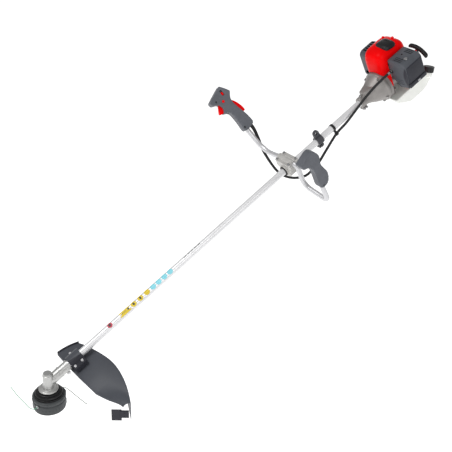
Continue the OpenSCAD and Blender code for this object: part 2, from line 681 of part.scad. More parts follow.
module cylinder_fins() for (i = [0:8]) translate([cyl_x, 0, 44 + 7.6 * i]) linear_extrude(2.4)
    round_rect(68, i < 5 ? 72 : 66, 6);

module engine_cylinder() color(alloy) at_shaft() difference() {
    union() {
        cylinder_fins();
        translate([cyl_x, 0, 38.2]) cylinder(h = 68, r = bore_r + 5);
        translate([cyl_x - 29, -29, 38.2]) cube([58, 58, 5]);
        block([cyl_x - 14, 20, 52], [cyl_x + 14, 44, 70]);
        block([cyl_x - 14, -45, 50], [cyl_x + 14, -20, 72]);
    }
    translate([cyl_x, 0, 38]) cylinder(h = 52.5, r = bore_r);
    translate([cyl_x, 0, 90]) cylinder(h = 40, r = 5.2);
    translate([cyl_x, 0, 101]) cylinder(h = 20, r = 11);
    cross_bar(cyl_x, 15, 45, 61, 7);
    cross_bar(cyl_x, -46, -15, 61, 7.5);
}

module flywheel() color(alloy) at_shaft() difference() {
    union() {
        turned([[1640, 0], [1640, 14], [1645, 16], [1645, 54], [1658, 54], [1658, 49], [1651, 47], [1651, 16],
            [1664, 13], [1664, 0]]);
        for (a = [0:24:336]) rotate([a, 0, 0]) block([1650, -1, 18], [1658, 1, 50]);
        for (a = [0, 180]) rotate([a + 40, 0, 0]) rotate([0, 90, 0]) translate([28, 0, 1616])
            cylinder(h = 30, r = 4);
    }
    disc(1639, 1665, 5 + slip);
}

module spark_plug() color(steel) at_shaft() translate([cyl_x, 0, 0]) {
    translate([0, 0, 92]) cylinder(h = 10, r = 5);
    translate([0, 0, 101.2]) cylinder(h = 8, r = 9.5, $fn = 6);
    translate([0, 0, 109]) cylinder(h = 5, r = 7);
    translate([0, 0, 113]) cylinder(h = 20, r = 4.6);
    translate([0, 0, 132]) cylinder(h = 5, r = 3);
}

muffler_x = cyl_x + 8;
outlet = [64, 34];    // y and z of the muffler's outlet

module muffler_box(y0, y1, w, h, r) {
    translate([muffler_x, y1, 64]) rotate([90, 0, 0]) linear_extrude(y1 - y0) round_rect(w, h, r);
}

module muffler() color(steel) at_shaft() difference() {
    union() {
        muffler_box(45, 80, 64, 88, 12);
        disc(1682, 1698, 7, outlet[0], outlet[1]);
    }
    muffler_box(47, 78, 60, 84, 10);
    cross_bar(cyl_x, 43, 50, 61, 7);
    disc(1681, 1700, 5.5, outlet[0], outlet[1]);
}

module muffler_guard() color(dark_grey) at_shaft() difference() {
    muffler_box(50, 86, 80, 112, 20);
    muffler_box(48, 83.4, 74.8, 106.8, 17.4);
    for (i = [0:4]) block([1692 + 12 * i, 56, 110], [1699 + 12 * i, 78, 124]);
    for (i = [0:5]) block([1697 + 9 * i, 80, 34], [1701 + 9 * i, 88, 94]);
    disc(1670, 1696, 10, outlet[0], outlet[1]);
}

module carburettor() color(clutch_grey) at_shaft() difference() {
    union() {
        block([1698, -78, 46], [1730, -48, 76]);
        block([1694, -48.2, 46], [1734, -45.2, 76]);
        translate([cyl_x, -63, 22]) cylinder(h = 25, r = 13);
    }
    cross_bar(cyl_x, -79, -40, 61, 8);
    translate([cyl_x, -63, 40]) cylinder(h = 50, r = 2 + slip);
    translate([cyl_x, -63, 21]) cylinder(h = 14, r = 10.5);
}

module throttle_valve() color(steel) at_shaft() translate([cyl_x, -63, 0]) {
    translate([0, 0, 44]) cylinder(h = 38, r = 2);
    rotate([0, 0, 8]) translate([0, 0.6, 61]) rotate([90, 0, 0]) cylinder(h = 1.2, r = 7.6);
    rotate([0, 0, -70]) translate([-2, -3, 77]) cube([18, 6, 2]);
    rotate([0, 0, -70]) translate([14, 0, 78]) cylinder(h = 5, r = 3);
}

module primer_bulb() color(black) at_shaft() translate([cyl_x, -63, 0]) difference() {
    union() {
        translate([0, 0, 23]) cylinder(h = 7, r = 10);
        translate([0, 0, 23]) sphere(r = 9);
    }
    translate([0, 0, 23]) sphere(r = 7.8);
    translate([0, 0, 23]) cylinder(h = 20, r = 7.8);
}

// Walls of the air filter cover, seen from the head
filter_outer = [[-50, 114], [-50, 36], [-82, -5], [-127, 2], [-134, 10], [-136, 98], [-126, 114], [-58, 117]];
filter_inner = [[-46, 111.4], [-46, 46], [-83.4, -1.9], [-125.9, 4.8], [-131.2, 11.2], [-133.2, 97.2],
    [-124.6, 111.2], [-58.6, 114.2]];

filter_screw = [1722, -114];

module filter_cover() color(mid_grey) at_shaft() difference() {
    end_plate(filter_outer, 1690, 1780);
    end_plate(filter_inner, 1692.8, 1777.2);
    for (i = [0:2]) {
        block([1758 + 6 * i, -112, 110], [1761 + 6 * i, -76, 120]);
        block([1700 + 6 * i, -108, 110], [1703 + 6 * i, -72, 120]);
    }
    translate([1738, -80, 110]) cylinder(h = 10, r = 4);
    translate([filter_screw[0], filter_screw[1], 108]) cylinder(h = 12, r = 2.6);
    block([1688, -66, 56], [1694, -49, 74]);
    disc(1770, 1790, 4 + slip, -96, 40);
    translate([cyl_x, -63, 0]) cylinder(h = 44, r = 13.4);
}

module choke_lever() color(black) at_shaft() {
    disc(1774, 1788, 4, -96, 40);
    disc(1780.4, 1788, 8, -96, 40);
    block([1782, -122, 37], [1788, -96, 43]);
}

// The cowl is a smooth shell over the cylinder, open below and on the muffler's side
cowl_knots = [[1679, -24, 126, 22], [1677, 28, 122, 20], [1774, -20, 124, 20], [1774, 34, 108, 20],
    [1669, -38, 42, 10], [1667, 46, 36, 10], [1700, -42, 2, 8], [1790, -36, 50, 8], [1790, 50, 44, 8]];

module cowl_form(shrink, drop) hull() for (k = cowl_knots)
    translate([k[0], k[1], k[2] - (k[2] < 60 ? drop : 0)]) sphere(r = k[3] - shrink, $fn = 32);

module cap_form(grow) hull() for (x = [1714, 1752], y = [-34, 14])
    translate([x, y, 143 - 0.12 * (x - 1714)]) sphere(r = 9 + grow, $fn = 24);

module engine_cowl() color(red) at_shaft() difference() {
    cowl_form(0, 0);
    cowl_form(3, 60);
    cap_form(0.5);
    disc(1650, 1677, fan_case_d / 2 + 0.5);
    disc(1763, 1830, 61);
    block([1660, 42, -20], [1766, 110, 125]);
    block([1688, -70, -20], [1790, -38, 118]);
    block([1680, -60, -40], [1790, 60, 20]);
}

module cowl_cap() color(black) at_shaft() difference() {
    cap_form(0);
    cap_form(-2.5);
    block([1690, -60, 120], [1780, 40, 142]);
}

rope_y = -33;
rope_z = 34;

module starter_housing() color(red) at_shaft() difference() {
    union() {
        turned([[1765, 0], [1765, 60], [1816, 60], [1824, 54], [1826, 48], [1826, 0]]);
        disc(1820, 1845, 9, rope_y, rope_z);
    }
    turned([[1764, 0], [1764, 57], [1815, 57], [1822, 50], [1822, 8], [1788, 8], [1788, 0]]);
    disc(1815, 1846, 2.6, rope_y, rope_z);
    for (a = [0:30:330]) rotate([a, 0, 0]) block([1818, -2, 18], [1828, 2, 34]);
}

module starter_reel() color(black) at_shaft() difference() {
    turned([[1792, 0], [1792, 42], [1794.5, 42], [1794.5, 30], [1801, 30], [1801, 42], [1803.5, 42],
        [1803.5, 0]]);
    disc(1790, 1806, 8 + slip);
}

module starter_handle() color(black) at_shaft() {
    bar([1859, 14, 48], [1855, -80, 20], 9);
    disc(1845.4, 1857, 6.5, rope_y, rope_z);
}

tank_outer = [[1668, -66], [1846, -66], [1866, -79], [1870, -86], [1864, -98], [1840, -112], [1812, -124],
    [1738, -124], [1676, -86]];
tank_inner = [[1672, -69], [1845, -69], [1863.6, -81.2], [1866.6, -86.4], [1861.4, -96], [1838.6, -109.4],
    [1811, -121], [1739, -121], [1679, -84]];

module fuel_tank() color([0.92, 0.94, 0.92]) at_shaft() difference() {
    union() {
        side_plate(tank_outer, -60, 60);
        at_filler() cylinder(h = 20, r = 17);
    }
    side_plate(tank_inner, -57, 57);
    at_filler() cylinder(h = 21, r = 14);
}

module fuel_cap() color(black) at_shaft() at_filler() difference() {
    translate([0, 0, 11]) cylinder(h = 22, r = 21.5);
    translate([0, 0, 10]) cylinder(h = 14, r = 17.3);
    for (i = [0:11]) rotate([0, 0, 30 * i]) translate([23, 0, 10]) cylinder(h = 19, r = 2.4);
}

gear_case();
ball_bearings();
bevel_pinion();
bevel_gear();
output_spindle();
cutter_flange();
spool_cap();
spool_housing();
line_eyelets();
line_left();
line_right();
spool();
bump_knob();
spool_spring();
guard();
guard_clamp();
line_cutter();
shaft_tube();
shaft_bushes();
drive_shaft();
harness_clamp();
cable_clip();
handlebar_bracket();
handlebar_cap();
bracket_bush();
handlebar();
left_grip();
control_grip_left();
control_grip_right();
throttle_conduit();
throttle_trigger();
throttle_lockout();
stop_switch();
half_throttle_button();
cap_screws();
small_screws();
clutch_housing();
clutch_drum();
clutch_shoes();
crankcase();
crankshaft();
connecting_rod();
piston();
engine_cylinder();
flywheel();
spark_plug();
muffler();
muffler_guard();
carburettor();
throttle_valve();
choke_lever();
primer_bulb();
filter_cover();
engine_cowl();
cowl_cap();
starter_housing();
starter_reel();
starter_handle();
fuel_tank();
fuel_cap();
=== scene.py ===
"""Looks of the petrol string trimmer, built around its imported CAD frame."""
import json
import math

import bmesh
import bpy
from mathutils import Matrix, Vector


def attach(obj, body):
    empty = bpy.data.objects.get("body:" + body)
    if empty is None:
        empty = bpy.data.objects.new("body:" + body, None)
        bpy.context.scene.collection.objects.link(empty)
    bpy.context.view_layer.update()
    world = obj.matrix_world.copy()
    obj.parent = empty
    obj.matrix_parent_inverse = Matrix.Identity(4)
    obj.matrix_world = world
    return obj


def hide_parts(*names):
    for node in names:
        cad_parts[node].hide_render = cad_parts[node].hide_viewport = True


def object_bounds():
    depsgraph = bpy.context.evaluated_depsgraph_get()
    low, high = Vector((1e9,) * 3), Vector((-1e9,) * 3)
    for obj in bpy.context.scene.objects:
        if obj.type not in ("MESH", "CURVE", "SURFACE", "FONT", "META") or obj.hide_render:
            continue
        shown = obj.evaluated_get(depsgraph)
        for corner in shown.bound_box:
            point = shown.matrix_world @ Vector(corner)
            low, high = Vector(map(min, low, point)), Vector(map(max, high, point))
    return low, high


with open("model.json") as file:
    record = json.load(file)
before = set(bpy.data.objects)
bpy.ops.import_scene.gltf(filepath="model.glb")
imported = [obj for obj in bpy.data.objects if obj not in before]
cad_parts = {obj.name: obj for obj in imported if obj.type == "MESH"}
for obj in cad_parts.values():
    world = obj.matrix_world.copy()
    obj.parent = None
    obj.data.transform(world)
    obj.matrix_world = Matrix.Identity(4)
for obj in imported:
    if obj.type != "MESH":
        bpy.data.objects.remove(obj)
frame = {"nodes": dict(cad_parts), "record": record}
cad_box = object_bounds()

# Places ------------------------------------------------------------------------------------------
# Shaft millimetres: x from the head to the engine, y to the operator's right, z up from the shaft.

MM = 0.001
TILT = math.radians(30)
EYE = Vector((1318, 0, 36))  # the harness eye, which is the frame's origin
AT_SHAFT = Matrix.Rotation(-TILT, 4, "Y") @ Matrix.Scale(MM, 4) @ Matrix.Translation(-EYE)
AT_HEAD = AT_SHAFT @ Matrix.Rotation(TILT, 4, "Y")
BAR_X = 1165
TUBE_R = 13


def at(x, y, z):
    """A point in shaft millimetres, in the frame's metres."""
    return AT_SHAFT @ Vector((x, y, z))


# Camera and light --------------------------------------------------------------------------------

AZIMUTH = math.radians(36.4)
ELEVATION = math.radians(27.2)
ROLL = math.radians(2.37)
DISTANCE = 2.8485
LOOK_AT = at(829.7, 0, -10.7)


def make_camera():
    """The photograph's viewing angle, with a slight roll."""
    cos_a, sin_a = math.cos(AZIMUTH), math.sin(AZIMUTH)
    cos_e, sin_e = math.cos(ELEVATION), math.sin(ELEVATION)
    forward = Vector((sin_a * cos_e, cos_a * cos_e, -sin_e))
    level = Vector((cos_a, -sin_a, 0))
    upward = Vector((sin_a * sin_e, cos_a * sin_e, cos_e))
    right = level * math.cos(ROLL) + upward * math.sin(ROLL)
    up = -level * math.sin(ROLL) + upward * math.cos(ROLL)
    data = bpy.data.cameras.new("camera")
    data.sensor_width = 36
    data.lens = 62.1
    data.clip_end = 50
    camera = bpy.data.objects.new("camera", data)
    turn = Matrix((right, up, -forward)).transposed().to_4x4()
    camera.matrix_world = Matrix.Translation(LOOK_AT - forward * DISTANCE) @ turn
    bpy.context.collection.objects.link(camera)
    bpy.context.scene.camera = camera


def area_light(name, place, size, power, target=(0, 0, 0)):
    data = bpy.data.lights.new(name, "AREA")
    data.size = size
    data.energy = power
    lamp = bpy.data.objects.new(name, data)
    lamp.location = place
    lamp.rotation_euler = (Vector(target) - Vector(place)).to_track_quat("-Z", "Y").to_euler()
    bpy.context.collection.objects.link(lamp)


def make_studio():
    """A pale floor that fills the view, an even surround and large soft lamps."""
    low = cad_box[0][2] - 0.45
    mesh = bpy.data.meshes.new("floor")
    s = 60
    mesh.from_pydata([(-s, -s, low), (s, -s, low), (s, s, low), (-s, s, low)], [], [(0, 1, 2, 3)])
    floor = bpy.data.objects.new("floor", mesh)
    bpy.context.collection.objects.link(floor)
    material = bpy.data.materials.new("floor")
    material.use_nodes = True
    shader = material.node_tree.nodes["Principled BSDF"]
    shader.inputs["Base Color"].default_value = (0.85, 0.85, 0.85, 1)
    shader.inputs["Roughness"].default_value = 0.9
    shader.inputs["Emission Color"].default_value = (1, 1, 1, 1)
    shader.inputs["Emission Strength"].default_value = 0.70
    mesh.materials.append(material)
    world = bpy.data.worlds.new("studio")
    world.use_nodes = True
    background = world.node_tree.nodes["Background"]
    background.inputs["Color"].default_value = (1, 1, 1, 1)
    background.inputs["Strength"].default_value = 0.42
    bpy.context.scene.world = world
    area_light("key", (-2.6, 0.4, 2.8), 1.6, 62)
    area_light("front", (-1.2, -3.2, 1.6), 2.0, 30)
    area_light("rim", (2.6, 2.8, 1.2), 1.4, 12)
    bpy.context.scene.view_settings.view_transform = "Standard"


make_camera()
make_studio()

# Materials ---------------------------------------------------------------------------------------


def node(tree, kind, **settings):
    made = tree.nodes.new(kind)
    for key, value in settings.items():
        setattr(made, key, value)
    return made


def surface(name, color, rough, metal=0.0, grain=0.0, grain_size=400.0, vary=0.12, wear=None,
            scratch=0.0, through=0.0, shine=0.5):
    """A procedural finish: a mottled colour, a fine bump, uneven gloss and worn edges.

    grain is the bump's strength and grain_size its frequency, vary the colour's mottling, wear the colour
    that edges rub down to, scratch the strength of long fine marks, through how much light passes, and
    shine how strongly it mirrors."""
    material = bpy.data.materials.new(name)
    material.use_nodes = True
    tree = material.node_tree
    shader = tree.nodes["Principled BSDF"]
    link = tree.links.new
    place = node(tree, "ShaderNodeTexCoord")
    broad = node(tree, "ShaderNodeTexNoise")
    broad.inputs["Scale"].default_value = 22
    broad.inputs["Detail"].default_value = 5
    link(place.outputs["Object"], broad.inputs["Vector"])
    ramp = node(tree, "ShaderNodeValToRGB")
    low = [c * (1 - vary) for c in color]
    high = [min(1, c * (1 + vary)) for c in color]
    ramp.color_ramp.elements[0].color = (*low, 1)
    ramp.color_ramp.elements[0].position = 0.3
    ramp.color_ramp.elements[1].color = (*high, 1)
    ramp.color_ramp.elements[1].position = 0.7
    link(broad.outputs["Fac"], ramp.inputs["Fac"])
    shade = ramp.outputs["Color"]
    if wear:
        geometry = node(tree, "ShaderNodeNewGeometry")
        edge = node(tree, "ShaderNodeMapRange")
        edge.inputs["From Min"].default_value = 0.53
        edge.inputs["From Max"].default_value = 0.62
        link(geometry.outputs["Pointiness"], edge.inputs["Value"])
        rub = node(tree, "ShaderNodeMix", data_type="RGBA")
        link(edge.outputs["Result"], rub.inputs["Factor"])
        link(shade, rub.inputs["A"])
        rub.inputs["B"].default_value = (*wear, 1)
        shade = rub.outputs["Result"]
    link(shade, shader.inputs["Base Color"])
    gloss = node(tree, "ShaderNodeMapRange")
    gloss.inputs["To Min"].default_value = max(0.03, rough - 0.08)
    gloss.inputs["To Max"].default_value = min(1, rough + 0.08)
    link(broad.outputs["Fac"], gloss.inputs["Value"])
    link(gloss.outputs["Result"], shader.inputs["Roughness"])
    fine = node(tree, "ShaderNodeTexNoise")
    fine.inputs["Scale"].default_value = grain_size
    fine.inputs["Detail"].default_value = 3
    if scratch:
        stretch = node(tree, "ShaderNodeMapping")
        stretch.inputs["Rotation"].default_value = (0, TILT, 0)
        stretch.inputs["Scale"].default_value = (0.05, 1, 1)
        link(place.outputs["Object"], stretch.inputs["Vector"])
        link(stretch.outputs["Vector"], fine.inputs["Vector"])
    else:
        link(place.outputs["Object"], fine.inputs["Vector"])
    bump = node(tree, "ShaderNodeBump")
    bump.inputs["Strength"].default_value = grain + scratch
    bump.inputs["Distance"].default_value = 0.0006
    link(fine.outputs["Fac"], bump.inputs["Height"])
    link(bump.outputs["Normal"], shader.inputs["Normal"])
    shader.inputs["Metallic"].default_value = metal
    shader.inputs["Specular IOR Level"].default_value = shine
    if through:
        shader.inputs["Subsurface Weight"].default_value = through
        shader.inputs["Subsurface Radius"].default_value = (0.03, 0.03, 0.03)
    return material


FINISH = {
    "alloy": surface("alloy", (0.50, 0.50, 0.49), 0.38, metal=0.85, grain=0.25, grain_size=900, vary=0.08),
    "clutch_grey": surface("clutch_grey", (0.265, 0.25, 0.24), 0.44, metal=0.45, grain=0.35, grain_size=700),
    "bar_silver": surface("bar_silver", (0.60, 0.60, 0.615), 0.32, metal=0.5, scratch=0.06, grain_size=1200,
                          vary=0.03),
    "zinc": surface("zinc", (0.86, 0.86, 0.87), 0.35, metal=0.3, scratch=0.1, grain_size=900),
    "bracket_grey": surface("bracket_grey", (0.52, 0.51, 0.49), 0.44, metal=0.4, grain=0.35, grain_size=700),
    "steel": surface("steel", (0.42, 0.42, 0.43), 0.32, metal=1.0, scratch=0.15, grain_size=900),
    "tube_silver": surface("tube_silver", (0.77, 0.77, 0.78), 0.34, metal=0.35, scratch=0.08, grain_size=1200,
                           vary=0.03),
    "black_plastic": surface("black_plastic", (0.008, 0.008, 0.009), 0.40, grain=0.25, grain_size=1500,
                             wear=(0.02, 0.02, 0.022), shine=0.3),
    "dark_plastic": surface("dark_plastic", (0.042, 0.045, 0.055), 0.42, grain=0.22, grain_size=1300,
                            wear=(0.07, 0.07, 0.08), shine=0.22),
    "grey_plastic": surface("grey_plastic", (0.078, 0.084, 0.097), 0.46, grain=0.30, grain_size=1500,
                            wear=(0.12, 0.125, 0.14), shine=0.22),
    "grip_grey": surface("grip_grey", (0.112, 0.118, 0.134), 0.46, grain=0.30, grain_size=1500, shine=0.22),
    "red_plastic": surface("red_plastic", (0.80, 0.001, 0.002), 0.30, grain=0.05, grain_size=500, vary=0.05,
                           shine=0.05),
    "line": surface("line", (0.10, 0.36, 0.21), 0.35, grain=0.1, grain_size=900),
    "rubber": surface("rubber", (0.014, 0.014, 0.015), 0.55, grain=0.3, grain_size=1100, vary=0.2, shine=0.3),
    "tank_white": surface("tank_white", (0.87, 0.88, 0.84), 0.42, grain=0.12, grain_size=500, vary=0.03,
                          through=0.6, shine=0.3),
    "slate_plastic": surface("slate_plastic", (0.070, 0.075, 0.088), 0.40, grain=0.12, grain_size=1200,
                             vary=0.06, shine=0.22),
    "spool_grey": surface("spool_grey", (0.062, 0.067, 0.070), 0.42, grain=0.2, grain_size=1200, shine=0.25),
    # A near-black plastic, used for dark parts and as painted shade on the blade, the guard clamp's near
    # face, the guard's far lip and the filter's near side
    "dark_panel_and_shade": surface("dark_panel_and_shade", (0.032, 0.033, 0.042), 0.48, grain=0.3, grain_size=1300, shine=0.2),
    "label_yellow": surface("label_yellow", (0.80, 0.60, 0.04), 0.3, grain=0.03, shine=0.3),
    "label_blue": surface("label_blue", (0.26, 0.70, 0.80), 0.3, grain=0.03, shine=0.3),
    "label_red": surface("label_red", (0.55, 0.06, 0.10), 0.3, grain=0.03, shine=0.3),
    "label_dark": surface("label_dark", (0.05, 0.05, 0.045), 0.35, grain=0.03, shine=0.3),
    # The same green cord as line, painted darker as painted shade, for the line where it runs beneath the
    # guard
    "line_shaded": surface("line_shaded", (0.09, 0.14, 0.10), 0.4, grain=0.1, grain_size=900),
}
# The line cutter's steel is given the near-black finish: painted shade and a painted dark reflection on the
# blade's side
NODE_FINISH = {"guard_clamp": "slate_plastic", "line_cutter": "dark_panel_and_shade",
               "handlebar_bracket": "bracket_grey", "handlebar_cap": "bracket_grey"}

SLOTS = {row["node"]: row["material_slot"] for row in frame["record"]["subparts"]}


def bevel_edges(thing, width, segments=3, angle=30):
    """Rounds the edges sharper than the angle; the width is in millimetres."""
    edge = thing.modifiers.new("round_edges", "BEVEL")
    edge.width = width * MM
    edge.segments = segments
    edge.limit_method = "ANGLE"
    edge.angle_limit = math.radians(angle)
    return edge


def soften_node(thing, width):
    """Softens the sharp edges of a CAD part, after merging its flat triangles."""
    merge = thing.modifiers.new("merge_flat", "DECIMATE")
    merge.decimate_type = "DISSOLVE"
    merge.angle_limit = math.radians(0.6)
    merge.delimit = {"NORMAL", "MATERIAL"}
    bevel_edges(thing, width, angle=35).harden_normals = True


def smooth(thing, angle=35):
    """Smooth shading, with creases at the edges sharper than the angle."""
    for face in thing.data.polygons:
        face.use_smooth = True
    thing.data.set_sharp_from_angle(angle=math.radians(angle))


# Building pieces ---------------------------------------------------------------------------------


def spline(points, steps, closed=False):
    """A smooth curve through the points, with so many steps between two of them."""
    p = [Vector(q) for q in points]
    count = len(p) if closed else len(p) - 1
    pick = (lambda i: p[i % len(p)]) if closed else (lambda i: p[min(max(i, 0), len(p) - 1)])
    out = []
    for i in range(count):
        a, b, c, d = pick(i - 1), pick(i), pick(i + 1), pick(i + 2)
        for k in range(steps):
            t = k / steps
            out.append(0.5 * (2 * b + (c - a) * t + (2 * a - 5 * b + 4 * c - d) * t * t
                              + (3 * b - a - 3 * c + d) * t ** 3))
    return out if closed else out + [p[-1]]


def add_loft(bm, rings, cap=True, closed=False):
    """Joins equal rings of points with quads, and closes the two ends."""
    rows = [[bm.verts.new(p) for p in ring] for ring in rings]
    pairs = list(zip(rows, rows[1:])) + ([(rows[-1], rows[0])] if closed else [])
    for a, b in pairs:
        for i in range(len(a)):
            j = (i + 1) % len(a)
            bm.faces.new((a[i], a[j], b[j], b[i]))
    if cap and not closed:
        bm.faces.new(rows[0][::-1])
        bm.faces.new(rows[-1])


def add_prism(bm, outline, low, high):
    """An outline in x and z, extruded along y."""
    add_loft(bm, [[Vector((p[0], y, p[1])) for p in outline] for y in (low, high)])


def add_box(bm, low, high, turn=0):
    """A box between two corners, turned about the z axis by so many degrees."""
    (x0, y0, z0), (x1, y1, z1) = low, high
    spin = Matrix.Rotation(math.radians(turn), 3, "Z")
    add_loft(bm, [[spin @ Vector(p) for p in ((x0, y, z0), (x1, y, z0), (x1, y, z1), (x0, y, z1))]
                  for y in (y0, y1)])


def superellipse(sides, power):
    """Points round a superellipse of half width and half height 1: power 2 is a circle."""
    out = []
    for k in range(sides):
        turn = 2 * math.pi * k / sides
        c, s = math.cos(turn), math.sin(turn)
        out.append((math.copysign(abs(c) ** (2 / power), c), math.copysign(abs(s) ** (2 / power), s)))
    return out


def ring(centre, along, radius, sides, across=None, squash=1.0):
    """Points of a circle or ellipse about a centre, square to a direction."""
    along = Vector(along).normalized()
    side = Vector(across) if across else along.orthogonal()
    side = (side - along * side.dot(along)).normalized()
    up = along.cross(side)
    turn = [2 * math.pi * k / sides for k in range(sides)]
    return [Vector(centre) + side * radius * math.cos(t) + up * radius * squash * math.sin(t) for t in turn]


def add_tube(bm, path, radius, sides=16, across=(1, 0, 0), cap=True):
    """A round tube along a path; radius is one number or a function of the share of the way."""
    last = len(path) - 1
    rings = []
    for i, p in enumerate(path):
        along = path[min(i + 1, last)] - path[max(i - 1, 0)]
        r = radius(i / last) if callable(radius) else radius
        rings.append(ring(p, along, r, sides, across))
    add_loft(bm, rings, cap)


def add_disc(bm, centre, along, steps, sides=32):
    """A turned shape: steps are [distance along, radius] from one end to the other."""
    along = Vector(along).normalized()
    across = along.orthogonal()
    add_loft(bm, [ring(Vector(centre) + along * d, along, max(r, 0.02), sides, across) for d, r in steps])


def plain_object(name, bm, matrix):
    bm.transform(matrix)
    bmesh.ops.recalc_face_normals(bm, faces=bm.faces)
    mesh = bpy.data.meshes.new(name)
    bm.to_mesh(mesh)
    bm.free()
    thing = bpy.data.objects.new(name, mesh)
    bpy.context.collection.objects.link(thing)
    return thing


def settle(thing):
    """Applies the piece's modifiers to its mesh."""
    graph = bpy.context.evaluated_depsgraph_get()
    mesh = bpy.data.meshes.new_from_object(thing.evaluated_get(graph))
    old = thing.data
    thing.modifiers.clear()
    thing.data = mesh
    bpy.data.meshes.remove(old)


def soften(thing, voxel, rounds, factor=0.5):
    """Rounds a closed form all over, as a moulding is, by remeshing and smoothing it."""
    mesh = thing.modifiers.new("remesh", "REMESH")
    mesh.mode = "VOXEL"
    mesh.voxel_size = voxel * MM
    relax = thing.modifiers.new("relax", "SMOOTH")
    relax.iterations = rounds
    relax.factor = factor
    settle(thing)


def cut(thing, bm, matrix):
    """Takes a closed form away from a piece."""
    tool = plain_object("cutter", bm, matrix)
    taken = thing.modifiers.new("cut", "BOOLEAN")
    taken.operation = "DIFFERENCE"
    taken.solver = "EXACT"
    taken.object = tool
    settle(thing)
    bpy.data.objects.remove(tool)


def cut_box(thing, low, high, matrix=AT_SHAFT):
    bm = bmesh.new()
    add_box(bm, low, high)
    cut(thing, bm, matrix)


def cut_disc(thing, centre, along, steps, sides=32, matrix=AT_SHAFT):
    bm = bmesh.new()
    add_disc(bm, centre, along, steps, sides)
    cut(thing, bm, matrix)


def place(thing, body, slot, *nodes, angle=40):
    """Gives a piece its finish, body and slot, and the CAD nodes that it stands for."""
    thing.data.materials.clear()
    thing.data.materials.append(FINISH[slot])
    smooth(thing, angle)
    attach(thing, body)
    if nodes:
        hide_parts(*nodes)
    return thing


def piece(name, bm, body, slot, *nodes, matrix=AT_SHAFT, bevel=0.0, angle=40):
    """A new piece in millimetres of one of the frames, in place and finished."""
    thing = plain_object(name, bm, matrix)
    if bevel:
        bevel_edges(thing, bevel)
        settle(thing)
    return place(thing, body, slot, *nodes, angle=angle)

# The CAD nodes that stay: merged flats, rounded edges and their finish -----------------------------

EDGE = {
    "gear_case": 1.4, "cutter_flange": 1.2, "spool_cap": 1.0, "spool_housing": 1.2, "line_eyelets": 0.5,
    "bump_knob": 1.2, "guard_clamp": 2.0, "line_cutter": 0.8, "harness_clamp": 1.5, "cable_clip": 0.6,
    "handlebar_bracket": 2.0, "handlebar_cap": 2.2, "cap_screws": 0.5, "small_screws": 0.4,
    "clutch_housing": 1.2, "crankcase": 1.5, "engine_cylinder": 0.5, "flywheel": 0.6, "muffler": 1.5,
    "muffler_guard": 2.5, "carburettor": 1.2, "choke_lever": 1.0, "starter_housing": 2.0, "fuel_cap": 1.4,
    "stop_switch": 0.8, "half_throttle_button": 0.9, "throttle_valve": 0.3, "bracket_bush": 0.8,
}


def paint(name, finish, picks):
    """Gives the faces that picks() chooses, by their centre, another finish."""
    thing = frame["nodes"][name]
    thing.data.materials.append(FINISH[finish])
    last = len(thing.data.materials) - 1
    for face in thing.data.polygons:
        if picks(face.center):
            face.material_index = last


def finish_nodes():
    for name, thing in frame["nodes"].items():
        for slot in thing.material_slots:
            slot.material = FINISH[NODE_FINISH.get(name, SLOTS[name])]
    on_grips = at(1250, 0, 0).x
    paint("small_screws", "black_plastic", lambda p: p.x < on_grips)
    to_shaft = AT_SHAFT.inverted()
    paint("cap_screws", "zinc", lambda p: (to_shaft @ p).x < 200)
    # The guard clamp's near face is painted near-black: painted shade on its shaded side
    paint("guard_clamp", "dark_panel_and_shade", lambda p: (to_shaft @ p).y < -14)
    for name, thing in frame["nodes"].items():
        if name in EDGE:
            soften_node(thing, EDGE[name])
        smooth(thing)


# Handlebar and conduit ---------------------------------------------------------------------------


def bar_path(steps, start, heading):
    """Points of a bent tube in the plane of y and z: steps are [run, turn, bend radius]."""
    points = [Vector(start)]
    for run, turn, radius in steps:
        points.append(points[-1] + Vector((math.cos(heading), math.sin(heading))) * run)
        if not turn:
            continue
        side = math.copysign(1, turn)
        centre = points[-1] + Vector((-math.sin(heading), math.cos(heading))) * side * radius
        count = math.ceil(abs(turn) / 5)
        for k in range(1, count + 1):
            a = heading + math.radians(turn) * k / count
            points.append(centre + Vector((math.sin(a), -math.cos(a))) * side * radius)
        heading += math.radians(turn)
    return points


BAR_Z = 28
BAR_R = 9.8
RIGHT_HEADING = math.radians(56)
RIGHT_ARM = bar_path([(38.5, -8, 100), (41.8, 64, 90), (148.2, 0, 0)], (0, BAR_Z), 0)
LEFT_ARM = bar_path([(38.5, 96, 16), (56, -86, 38), (66.9, -100, 22), (132.2, 0, 0)], (0, BAR_Z), math.pi)


def make_handlebar():
    path = [Vector((BAR_X, p.x, p.y)) for p in RIGHT_ARM[:0:-1] + LEFT_ARM]
    last = len(path) - 1

    def rings(radius):
        return [ring(p, path[min(i + 1, last)] - path[max(i - 1, 0)], radius, 40, (1, 0, 0))
                for i, p in enumerate(path)]

    bm = bmesh.new()
    add_loft(bm, rings(BAR_R) + rings(BAR_R - 1.5)[::-1], closed=True)
    piece("handlebar_tube", bm, "frame", "bar_silver", "handlebar", angle=60)


CONDUIT = [(1188, 215, 110), (1188, 200, 88), (1182, 188, 40), (1170, 168, -10), (1161, 122, -70),
           (1162, 80, -88), (1170, 34, -86), (1180, -4, -74), (1192, -34, -60), (1214, -44, -52),
           (1264, -38, -50), (1320, -28, -38), (1394, -15, -23), (1450, -18, -12), (1510, -27, 14),
           (1556, -34, 33), (1606, -42, 50), (1652, -52, 62), (1686, -56, 66)]


